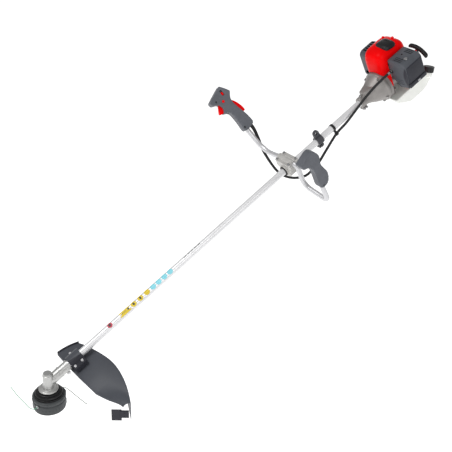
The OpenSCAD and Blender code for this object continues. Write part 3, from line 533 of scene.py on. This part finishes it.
def make_conduit():
    """The throttle conduit, with a thick sleeve where it leaves the grip."""
    path = spline(CONDUIT, 8)
    bm = bmesh.new()
    add_tube(bm, path, lambda t: 5 + 2.4 * max(0, 1 - t / 0.22), 20)
    piece("conduit_sleeve", bm, "frame", "rubber", "throttle_conduit", angle=80)
    bm = bmesh.new()
    end = Vector(CONDUIT[-1])
    along = (end - Vector(CONDUIT[-2])).normalized()
    add_disc(bm, end - along * 16, along, [(0, 5.2), (0, 6.2), (9, 6.2), (9, 4.2), (18, 4.2), (18, 3.5)])
    piece("conduit_ferrule", bm, "frame", "steel", angle=30)


# Grips -------------------------------------------------------------------------------------------

LEFT_GRIP = [(-20, -13), (-8, -17), (6, -16), (14, -8), (15, 10), (13, 38), (14, 76), (27, 101), (46, 110),
             (51, 116), (53, 128), (50, 134), (6, 151), (-12, 148), (-23, 131), (-28, 113), (-24, 94),
             (-22, 78), (-29, 52), (-35, 30), (-33, 10), (-27, -4)]
CONTROL_GRIP = [(-26, 4), (-12, 0), (8, 0), (15, 8), (13, 38), (12.5, 72), (17, 92), (30, 100), (36, 104),
                (30, 112), (26, 124), (32, 142), (44, 148), (54, 154), (55, 166), (48, 172), (-8, 193),
                (-18, 191), (-38, 160), (-36, 152), (-24, 136), (-20, 118), (-24, 90), (-32, 56), (-36, 24),
                (-34, 8)]
TRIGGER_SLOT = [(-46, 58), (-14, 58), (-12, 101), (10, 101), (12, 92), (44, 88), (44, 122), (30, 146),
                (-14, 146), (-46, 134)]
TRIGGER = [(-1, 127), (12, 106.5), (36, 105.5), (50, 110), (46, 120), (39, 130), (32, 140), (20, 141),
           (4, 138)]
LOCKOUT = [(-13, 133), (-14, 118), (-22, 108), (-27, 84), (-30, 66), (-37, 62.5), (-43, 66), (-42, 84),
           (-35, 108), (-24, 126)]
GRIP_DEPTH = 100
HALF_TURN = Matrix.Rotation(math.pi, 4, "Z")
AT_LEFT_GRIP = AT_SHAFT @ Matrix.Translation((BAR_X, LEFT_ARM[-1].x, 0)) @ HALF_TURN
AT_CONTROL_GRIP = (AT_SHAFT @ Matrix.Translation((BAR_X, RIGHT_ARM[-1].x, RIGHT_ARM[-1].y))
                   @ Matrix.Rotation(RIGHT_HEADING - math.pi / 2, 4, "X")
                   @ Matrix.Translation((0, 0, -GRIP_DEPTH)) @ HALF_TURN)


def bore_form(low, high):
    bm = bmesh.new()
    add_disc(bm, (0, 0, low), (0, 0, 1), [(0, BAR_R + 0.1), (high - low, BAR_R + 0.1)], 48)
    return bm


def make_left_grip():
    bm = bmesh.new()
    add_prism(bm, [(p.x, p.y) for p in spline(LEFT_GRIP, 4, closed=True)], -17, 17)
    grip = plain_object("left_grip_moulding", bm, AT_LEFT_GRIP)
    soften(grip, 1.9, 16)
    cut(grip, bore_form(-40, 58), AT_LEFT_GRIP)
    cut_disc(grip, (0, 14.2, -8), (0, 1, 0), [(0, 3.2), (6, 3.2)], matrix=AT_LEFT_GRIP)
    place(grip, "frame", "grip_grey", "left_grip", angle=50)


def make_control_grip():
    """Two moulded halves around the bar, with a slot for the trigger and the lockout."""
    for side, node_name in ((1, "control_grip_left"), (-1, "control_grip_right")):
        bm = bmesh.new()
        add_prism(bm, [(p.x, p.y) for p in spline(CONTROL_GRIP, 3, closed=True)], -18, 18)
        half = plain_object(node_name + "_moulding", bm, AT_CONTROL_GRIP)
        soften(half, 1.7, 14)
        bm = bmesh.new()
        add_box(bm, (-80, -40, -20), (80, 0.12, 220))
        if side < 0:
            bm.transform(HALF_TURN)
        cut(half, bm, AT_CONTROL_GRIP)
        bm = bmesh.new()
        add_prism(bm, TRIGGER_SLOT, -7, 7)
        cut(half, bm, AT_CONTROL_GRIP)
        cut(half, bore_form(-10, GRIP_DEPTH + 0.5), AT_CONTROL_GRIP)
        cut_disc(half, (-23, 0, -2), (0, 0, 1), [(0, 7.6), (15.5, 7.6)], 40, matrix=AT_CONTROL_GRIP)
        if side > 0:
            cut_box(half, (-12, 10.4, 158), (-2, 24, 181), AT_CONTROL_GRIP)
            cut_disc(half, (10, 8, 141), (0, 1, 0), [(0, 5.3), (16, 5.3)], matrix=AT_CONTROL_GRIP)
        place(half, "frame", "grip_grey", node_name, angle=45)


def make_levers():
    for name, outline, body, pivot, half_width in (
            ("throttle_trigger", TRIGGER, "trigger", (4, 132), 6.3),
            ("throttle_lockout", LOCKOUT, "lockout", (-16, 128), 5.9)):
        bm = bmesh.new()
        add_prism(bm, [(p.x, p.y) for p in spline(outline, 3, closed=True)], -half_width, half_width)
        lever = plain_object(name + "_moulding", bm, AT_CONTROL_GRIP)
        soften(lever, 0.9, 8)
        place(lever, body, "red_plastic", name, angle=50)
        bm = bmesh.new()
        add_disc(bm, (pivot[0], -11.5, pivot[1]), (0, 1, 0), [(0, 2.4), (0.6, 3), (22.4, 3), (23, 2.4)])
        piece(name + "_pin", bm, body, "red_plastic", matrix=AT_CONTROL_GRIP)


# Line head ---------------------------------------------------------------------------------------

LINE_RIGHT = [(54.36, 24.2, -65), (60, 27, -65.4), (69, 24, -67), (76, 8, -69), (83, -30, -70),
              (90, -66, -71), (96, -95, -71)]
LINE_LEFT = [(-54.36, -24.2, -65), (-60, -27, -65.4), (-69, -24, -67), (-76, -6, -69), (-79, 24, -70),
             (-84, 72, -71), (-86, 135, -72)]
LINE_D = 2.4


def make_lines():
    # The right line's cord is painted darker than the left: painted shade beneath the guard
    for name, points, finish in (("line_left", LINE_LEFT, "line"), ("line_right", LINE_RIGHT, "line_shaded")):
        path = [AT_HEAD @ p for p in spline(points, 5)]
        curve = bpy.data.curves.new(name + "_cord", "CURVE")
        curve.dimensions = "3D"
        curve.bevel_depth = LINE_D / 2 * MM
        curve.bevel_resolution = 3
        curve.use_fill_caps = True
        run = curve.splines.new("POLY")
        run.points.add(len(path) - 1)
        for point, p in zip(run.points, path):
            point.co = (*p, 1)
        cord = bpy.data.objects.new(name + "_cord", curve)
        bpy.context.collection.objects.link(cord)
        curve.materials.append(FINISH[finish])
        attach(cord, "head")
        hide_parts(name)


# Engine covers -----------------------------------------------------------------------------------


def level_ring(z, x0, x1, y0, y1, sides=72, power=4.2):
    """A rounded rectangle as a superellipse, level in shaft millimetres."""
    return [Vector(((x0 + x1) / 2 + x * (x1 - x0) / 2, (y0 + y1) / 2 + y * (y1 - y0) / 2, z))
            for x, y in superellipse(sides, power)]


COWL = [(-10, 1664, 1800, -46, 50), (20, 1658, 1803, -47, 54), (50, 1657, 1803, -47, 57),
        (80, 1657, 1802, -47, 57), (104, 1657.5, 1800, -47, 56), (121, 1660, 1796, -46, 54),
        (133, 1664, 1789, -42, 50), (142, 1672, 1778, -35, 44), (148, 1686, 1764, -23, 32),
        (151.5, 1704, 1746, -9, 16)]
COWL_WALL = 2.6


def smooth_levels(levels, steps, wall=0.0):
    """Levels on a smooth curve through the given ones, drawn in by the wall's thickness."""
    rows = [(z - wall, x0 + wall, x1 - wall, y0 + wall, y1 - wall)
            for z, x0, x1, y0, y1 in spline(levels, steps)]
    return [row for row in rows if row[2] - row[1] > 2 and row[4] - row[3] > 2]


def make_cowl():
    """The red cowl: one moulded shell, cut away for what it fits round."""
    bm = bmesh.new()
    add_loft(bm, [level_ring(*row) for row in smooth_levels(COWL, 4)])
    cowl = plain_object("cowl_shell", bm, AT_SHAFT)
    bm = bmesh.new()
    inner = smooth_levels(COWL, 4, COWL_WALL)
    add_loft(bm, [level_ring(-30, *inner[0][1:])] + [level_ring(*row) for row in inner])
    cut(cowl, bm, AT_SHAFT)
    cut_disc(cowl, (1640, 0, 0), (1, 0, 0), [(0, 65), (33.5, 65)], 96)
    cut_disc(cowl, (1763, 0, 0), (1, 0, 0), [(0, 61), (60, 61)], 96)
    for low, high in (((1690, -70, -40), (1830, 80, 22)), ((1661, 42, -40), (1766, 110, 131)),
                      ((1690, -70, -40), (1784, -42, 98))):
        cut_box(cowl, low, high)
    place(cowl, "frame", "red_plastic", "engine_cowl", angle=35)


def make_cowl_cap():
    """The dark cap on the cowl's crown, with shallow vents across it."""
    bm = bmesh.new()
    rows = [(-3, 29), (2, 29.4), (7, 28.6), (11, 25.5), (13.4, 20), (14.8, 12), (15.2, 3)]
    rings = []
    for lift, r in rows:
        rings.append([Vector((1733 + p.x, -10 + p.y, 143 + lift - 0.12 * p.x + 0.05 * p.y))
                      for p in level_ring(0, -r, r, -r * 1.12, r * 1.12, 64, 3.4)])
    add_loft(bm, rings)
    cap = plain_object("cowl_cap_dome", bm, AT_SHAFT)
    for i in range(4):
        cut_box(cap, (1742 + i * 4.6, -24, 154.4 - i * 0.7), (1744 + i * 4.6, 6, 166))
    place(cap, "frame", "black_plastic", "cowl_cap", angle=35)
    bm = bmesh.new()
    for x, y, z in ((1762, 30, 143), (1778, -3, 139)):
        add_disc(bm, (x, y, z), (0.2, 0, 1), [(-6, 6.5), (4, 5.6), (7, 4.2), (8.6, 1.5)], 24)
    piece("cowl_posts", bm, "frame", "red_plastic")


def make_muffler_guard():
    """The guard over the muffler: a rounded open box with slots, and a grille on its far side."""
    bm = bmesh.new()

    def outline(y, inset, r):
        out = []
        for cx, cz, a0 in ((1762, 127, 0), (1673, 127, 90), (1673, 8, 180), (1762, 8, 270)):
            cx += (-r - inset) if a0 in (0, 270) else r + inset
            cz += (-r - inset) if a0 in (0, 90) else r + inset
            for k in range(9):
                a = math.radians(a0 + k * 90 / 8)
                out.append(Vector((cx + r * math.cos(a), y, cz + r * math.sin(a))))
        return out

    outer = [outline(50, 0, 20), outline(78, 0, 20), outline(83, 1.2, 19), outline(86, 5, 16)]
    inner = [outline(83.4, 6.5, 15), outline(81, 3.6, 17.4), outline(50, 2.6, 17.4)]
    add_loft(bm, outer)
    guard = plain_object("muffler_guard_shell", bm, AT_SHAFT)
    bm = bmesh.new()
    add_loft(bm, [outline(49, 2.6, 17.4)] + inner[:0:-1] + [inner[0]])
    cut(guard, bm, AT_SHAFT)
    for i in range(5):
        cut_box(guard, (1690 + 12 * i, 56, 114), (1697 + 12 * i, 78, 131))
    for i in range(6):
        cut_box(guard, (1697 + 9 * i, 78, 34), (1701 + 9 * i, 90, 94))
    cut_disc(guard, (1668, 64, 34), (1, 0, 0), [(0, 10), (26, 10)])
    place(guard, "frame", "slate_plastic", "muffler_guard", angle=35)


FILTER_FRONT = [(-47.5, 114), (-47.5, 36), (-82, -5), (-127, 2), (-134, 10), (-136, 98), (-126, 114),
                (-58, 117)]
FILTER_HOLLOW = [(-40, 111.6), (-40, 46), (-83.4, -1), (-125.5, 6), (-130.5, 12), (-132.5, 96), (-121, 111.6)]


def make_filter_cover():
    """The air filter cover: a grey shell with vents, a near-black sheet and ledge on its near side as painted
    shade, and black plates under the vents as painted shade.
    """
    bm = bmesh.new()
    add_loft(bm, [[Vector((x, p[0], p[1])) for p in FILTER_FRONT] for x in (1690, 1780)])
    cover = plain_object("filter_cover_shell", bm, AT_SHAFT)
    bevel_edges(cover, 6, segments=5, angle=8)
    settle(cover)
    bm = bmesh.new()
    add_loft(bm, [[Vector((x, p[0], p[1])) for p in FILTER_HOLLOW] for x in (1693, 1777)])
    cut(cover, bm, AT_SHAFT)
    for x, low, high in ((1754, -112, -76), (1698, -108, -72)):
        for i in range(3):
            cut_box(cover, (x + 8 * i, low, 106), (x + 4 + 8 * i, high, 122))
    for x, y, r in ((1738, -80, 4), (1714, -63, 13.4)):
        bm = bmesh.new()
        low, high = (106, 120) if r < 5 else (-10, 44)
        add_disc(bm, (x, y, low), (0, 0, 1), [(0, r), (high - low, r)])
        cut(cover, bm, AT_SHAFT)
    cut_box(cover, (1684, -64, 56), (1698, -46, 74))
    place(cover, "frame", "grey_plastic", "filter_cover", angle=35)
    # A near-black sheet and ledge over the cover's near side: painted shade on the side turned from the light
    bm = bmesh.new()
    add_box(bm, (1694, -138.6, 27), (1776, -131, 97))
    piece("filter_side_shade_sheet", bm, "frame", "dark_panel_and_shade", bevel=2.2)
    bm = bmesh.new()
    add_box(bm, (1690, -141, 8), (1779, -130, 25))
    piece("filter_side_ledge", bm, "frame", "dark_panel_and_shade", bevel=3)
    bm = bmesh.new()
    ear = [(-134.5, 94), (-124, 82), (-118, 62), (-118.5, 38), (-125, 16), (-133, 10)]
    add_loft(bm, [[Vector((x, p.x, p.y)) for p in spline(ear, 4, closed=True)] for x in (1688.6, 1691)])
    piece("filter_front_panel", bm, "frame", "dark_panel_and_shade", bevel=0.6)
    bm = bmesh.new()
    for z, y0, y1 in ((30, -106, -66), (22, -108, -72), (14, -110, -78)):
        add_box(bm, (1688.4, y0, z), (1691, y1, z + 2.2))
    piece("filter_front_ribs", bm, "frame", "grey_plastic", bevel=0.6)
    bm = bmesh.new()
    add_box(bm, (1730, -143, 13), (1742, -140, 21))
    piece("filter_clip", bm, "frame", "steel", bevel=0.8)
    # Black plates inside the cover under the vents: painted shade, so that the vents read dark
    bm = bmesh.new()
    for x, y in ((1752, -114), (1696, -110)):
        add_box(bm, (x, y, 108), (x + 24, y + 40, 111))
    piece("vent_shade_plates", bm, "frame", "black_plastic")


TANK = [(1668, -66), (1846, -66), (1866, -79), (1870, -86), (1864, -98), (1840, -112), (1812, -124),
        (1738, -124), (1676, -86)]
FILLER = (1856, -50, -82)
FILLER_TILT = math.radians(35)


def make_tank():
    """The milky tank with its filler neck, and the seam round its middle."""
    bm = bmesh.new()
    add_prism(bm, TANK, -60, 60)
    along = (math.sin(FILLER_TILT), 0, math.cos(FILLER_TILT))
    add_disc(bm, Vector(FILLER) - Vector(along) * 8, along, [(0, 20), (10, 18), (28, 17)], 40)
    tank = plain_object("tank_moulding", bm, AT_SHAFT)
    soften(tank, 2.6, 12)
    place(tank, "frame", "tank_white", "fuel_tank", angle=60)
    bm = bmesh.new()
    mid = Vector((sum(x for x, z in TANK) / len(TANK), sum(z for x, z in TANK) / len(TANK)))
    rings = []
    for y, grow in ((-1.2, -1.5), (-0.8, 0.6), (0.8, 0.6), (1.2, -1.5)):
        rings.append([Vector((mid.x + (x - mid.x) * (1 + grow / 60), y,
                              mid.y + (z - mid.y) * (1 + grow / 30))) for x, z in TANK])
    add_loft(bm, rings)
    piece("tank_seam", bm, "frame", "tank_white")


def make_starter_grip():
    """A ribbed cross grip on its stem, slightly bowed."""
    a, b = Vector((1859, 9, 47)), Vector((1855, -80, 18))
    along = (b - a).normalized()
    length = (b - a).length
    bm = bmesh.new()
    rings = []
    count = 44
    for i in range(count + 1):
        t = i / count
        bow = Vector((-4, 0, 0)) * (2 * t - 1) ** 2 + Vector((0, -3, 10)) * (1 - (2 * t - 1) ** 2)
        end = min(t, 1 - t) * length
        r = 9 * math.sqrt(max(0.02, 1 - max(0, 1 - end / 7) ** 2))
        if 0.14 < t < 0.86 and i % 4 == 2:
            r -= 1.1
        rings.append(ring(a + (b - a) * t + bow, along, r, 28, (1, 0, 0)))
    add_loft(bm, rings)
    piece("starter_cross_grip", bm, "handle", "black_plastic", "starter_handle", angle=50)
    bm = bmesh.new()
    add_disc(bm, (1845.4, -33, 35), (1, 0, 0.2), [(0, 4), (0.6, 5), (4, 7.5), (11, 9)])
    piece("starter_stem", bm, "handle", "black_plastic")
    bm = bmesh.new()
    add_disc(bm, (1824, -33, 34), (1, 0, 0),
             [(0, 16), (4, 13.5), (9, 11), (18, 10), (20.4, 9.2), (20.8, 7)], 40)
    piece("starter_boss", bm, "frame", "red_plastic")


GUARD_FRONT = [(85, 107, 20), (86, 40, 21), (88, -20, 23), (90, -60, 24), (97, -110, 20), (106, -150, 11),
               (130, -185, 1), (157, -210, -11), (168, -221, -21)]
GUARD_RIM = [(154, 74, 60), (165, 40, 66), (174, 0, 71), (188, -50, 71), (198, -95, 66), (200, -140, 56),
             (196, -185, 40), (188, -222, 22), (182, -246, 2)]
GUARD_SKIRT = [12, 14, 16, 20, 28, 40, 52, 64, 72]
GUARD_CORNER = 5


def make_guard():
    """The guard: an apron with a crisp corner in front, a rim that turns down and a raised far end."""
    front = spline(GUARD_FRONT[:GUARD_CORNER + 1], 6)[:-1] + spline(GUARD_FRONT[GUARD_CORNER:], 6)
    rim = spline(GUARD_RIM, 6)
    skirt = [h.x for h in spline([(h, 0, 0) for h in GUARD_SKIRT], 6)]
    rows = []
    for f, r, h in zip(front, rim, skirt):
        out = Vector((r.x - f.x, r.y - f.y - 20, 0)).normalized()
        under = Vector((1.4, 0, -2.5))
        crown = [f.lerp(r, k / 10) + Vector((0, 0, 4.5 * math.sin(math.pi * k / 10))) for k in range(11)]
        lip = f + Vector((-1, 0, -6))
        rows.append([lip] + crown + [r + out * 2 + Vector((0, 0, -3)), r + out * 2 + Vector((0, 0, -h)),
                                     r - out * 0.8 + Vector((0, 0, -h)), r - out * 2 + under]
                    + [q + under for q in crown[-2:0:-1]]
                    + [f + Vector((1.6, 0, -2.5)), lip + Vector((2.4, 0, 0))])
    bm = bmesh.new()
    add_loft(bm, rows)
    piece("guard_apron", bm, "frame", "slate_plastic", "guard", matrix=AT_HEAD, bevel=0.5, angle=30)
    # The guard's raised far lip is given the near-black finish: painted shade on the guard's far end
    bm = bmesh.new()
    edge = rows[0][1:12]
    add_loft(bm, [[q + Vector((0, a, b)) for a, b in ((-1, -9), (2, -9), (3.4, 6), (0.8, 6))]
                  for q in edge])
    piece("guard_end_lip", bm, "frame", "dark_panel_and_shade", matrix=AT_HEAD, bevel=0.6)
    bm = bmesh.new()
    for k in (8, 16, 26, 34):
        a, b = rows[k][15], rows[k][23]
        sections = []
        for i in range(9):
            bulge = math.sin(math.pi * i / 8)
            p = a.lerp(b, i / 8) + Vector((0, 0, 4 * bulge - 1))
            sections.append([p + Vector(step) for step in ((0, 0, 0.5), (0, 0, -5 - 4 * bulge),
                                                           (0, 2, -5 - 4 * bulge), (0, 2, 0.5))])
        add_loft(bm, sections)
    piece("guard_ribs", bm, "frame", "slate_plastic", matrix=AT_HEAD)


def make_clutch_housing():
    """The cast clutch housing: a flared cone with a flat roof, ribs and a split clamp."""
    bm = bmesh.new()
    add_disc(bm, (1545, 0, 0), (1, 0, 0), [(0, 20.4), (1.5, 21), (27, 22.5), (34, 24.5), (46, 30), (66, 42),
                                           (92, 54), (100, 58.5), (104, 63), (115, 63)], 96)
    add_box(bm, (1548, -11, -33), (1568, 11, -10))
    add_box(bm, (1552, -7, 14), (1571, 7, 24))
    roof = [(1566, -9), (1650, -37), (1650, 37), (1566, 9)]
    add_loft(bm, [[Vector((x, y, z)) for x, y in roof] for z in (10, 38)])
    housing = plain_object("clutch_casting", bm, AT_SHAFT)
    soften(housing, 1.3, 5)
    cut_box(housing, (1540, -1.2, -40), (1569, 1.2, -8))
    cut_disc(housing, (1540, 0, 0), (1, 0, 0), [(0, 13.1), (26, 13.1)], 64)
    for x, r in ((1552, 2.7), (1564, 2.7)):
        cut_disc(housing, (x, -14, -27), (0, 1, 0), [(0, r), (28, r)])
    place(housing, "frame", "clutch_grey", "clutch_housing", angle=40)
    bolts = [math.radians(a) for a in (25, 115, 205, 245, 295, 335)]
    bm = bmesh.new()
    for t in bolts:
        centre = Vector((1648, 58 * math.cos(t), 58 * math.sin(t)))
        add_disc(bm, centre, (1, 0, 0), [(-8, 4.4), (-1, 5.2), (12.4, 5.2)], 24)
    piece("housing_bosses", bm, "frame", "clutch_grey")
    bm = bmesh.new()
    for t in bolts:
        add_disc(bm, (1638.6, 58 * math.cos(t), 58 * math.sin(t)), (1, 0, 0),
                 [(-1.6, 2.6), (-1.2, 3.2), (2, 3.2)], 6)
    piece("housing_bolts", bm, "frame", "steel")


def make_spool_housing():
    """The line head's lower housing, with a stepped rim, a waist and ribs to grip it by."""
    profile = [(49.4, -47.6), (54, -47.6), (56.4, -49), (57.4, -51.5), (57.4, -57.5), (56.6, -59),
               (54.2, -60), (54, -63), (55.6, -64.6), (56.6, -67), (57, -76), (57.2, -87), (56.8, -89.6),
               (55, -90.6), (55, -93), (55.8, -94), (55, -97.2), (51, -100), (27.4, -100), (27.4, -96),
               (46, -95), (51, -88), (51, -54), (49.4, -52)]
    bm = bmesh.new()
    turns = [2 * math.pi * k / 96 for k in range(96)]
    add_loft(bm, [[Vector((r * math.cos(t), r * math.sin(t), z)) for r, z in profile] for t in turns],
             closed=True)
    for rib in range(30):
        add_box(bm, (56.4, -1.6, -88), (57.9, 1.6, -78), 12 * rib + 6)
    for pad in range(6):
        add_box(bm, (54, -7, -58.4), (58.4, 7, -50.6), 60 * pad + 54)
    piece("spool_housing_shell", bm, "spool_body", "spool_grey", "spool_housing", matrix=AT_HEAD, bevel=0.5,
          angle=35)


ROUND = 2.0    # powers of the stickers' outlines
SQUARE = 8
STICKER = 0.12  # how far a sticker's face stands off the tube, and a mark's on it
MARK = 0.24


def add_label(bm, x, length, width, power=ROUND, lift=STICKER, turn=69):
    """A thin sticker, round or square, bent round the upper left side of the shaft tube.

    lift is how far its face stands off the tube, and turn its angle up from the tube's left side."""
    def ring_at(share, radius):
        out = []
        for along, over in superellipse(40, power):
            a = math.radians(turn) + over * share * width / 2 / TUBE_R
            out.append(Vector((x + along * share * length / 2, -radius * math.cos(a), radius * math.sin(a))))
        return out

    under = [ring_at(share, TUBE_R - 0.1) for share in (0.02, 0.5, 1)]
    face = [ring_at(share, TUBE_R + lift) for share in (1, 0.8, 0.5, 0.25, 0.02)]
    add_loft(bm, under + face)


def make_labels():
    """Plain coloured stickers along the shaft, with no lettering."""
    for name, finish, spots in (
            ("label_warning", "label_red", [(281, 20, 20)]),
            ("label_yellow", "label_yellow",
             [(351, 50, 20, SQUARE)] + [(x, 23, 22) for x in (391, 422, 453)]),
            ("label_blue", "label_blue", [(x, 23, 22) for x in (482, 508, 535, 562)]),
            ("label_marks", "label_dark", [(281, 10, 10, ROUND, MARK), (391, 8, 11, ROUND, MARK),
                                           (422, 8, 11, ROUND, MARK), (345, 26, 1.6, SQUARE, MARK),
                                           (366, 8, 8, ROUND, MARK)]),
            ("label_dashes", "label_dark",
             [(x, 13, 2.6, SQUARE, STICKER, 84) for x in (640, 657, 672, 689, 705)])):
        bm = bmesh.new()
        for spot in spots:
            add_label(bm, *spot)
        piece(name, bm, "frame", finish, angle=60)


finish_nodes()
make_lines()
make_handlebar()
make_conduit()
make_left_grip()
make_control_grip()
make_levers()
make_cowl()
make_cowl_cap()
make_muffler_guard()
make_filter_cover()
make_tank()
make_starter_grip()
make_guard()
make_clutch_housing()
make_spool_housing()
make_labels()
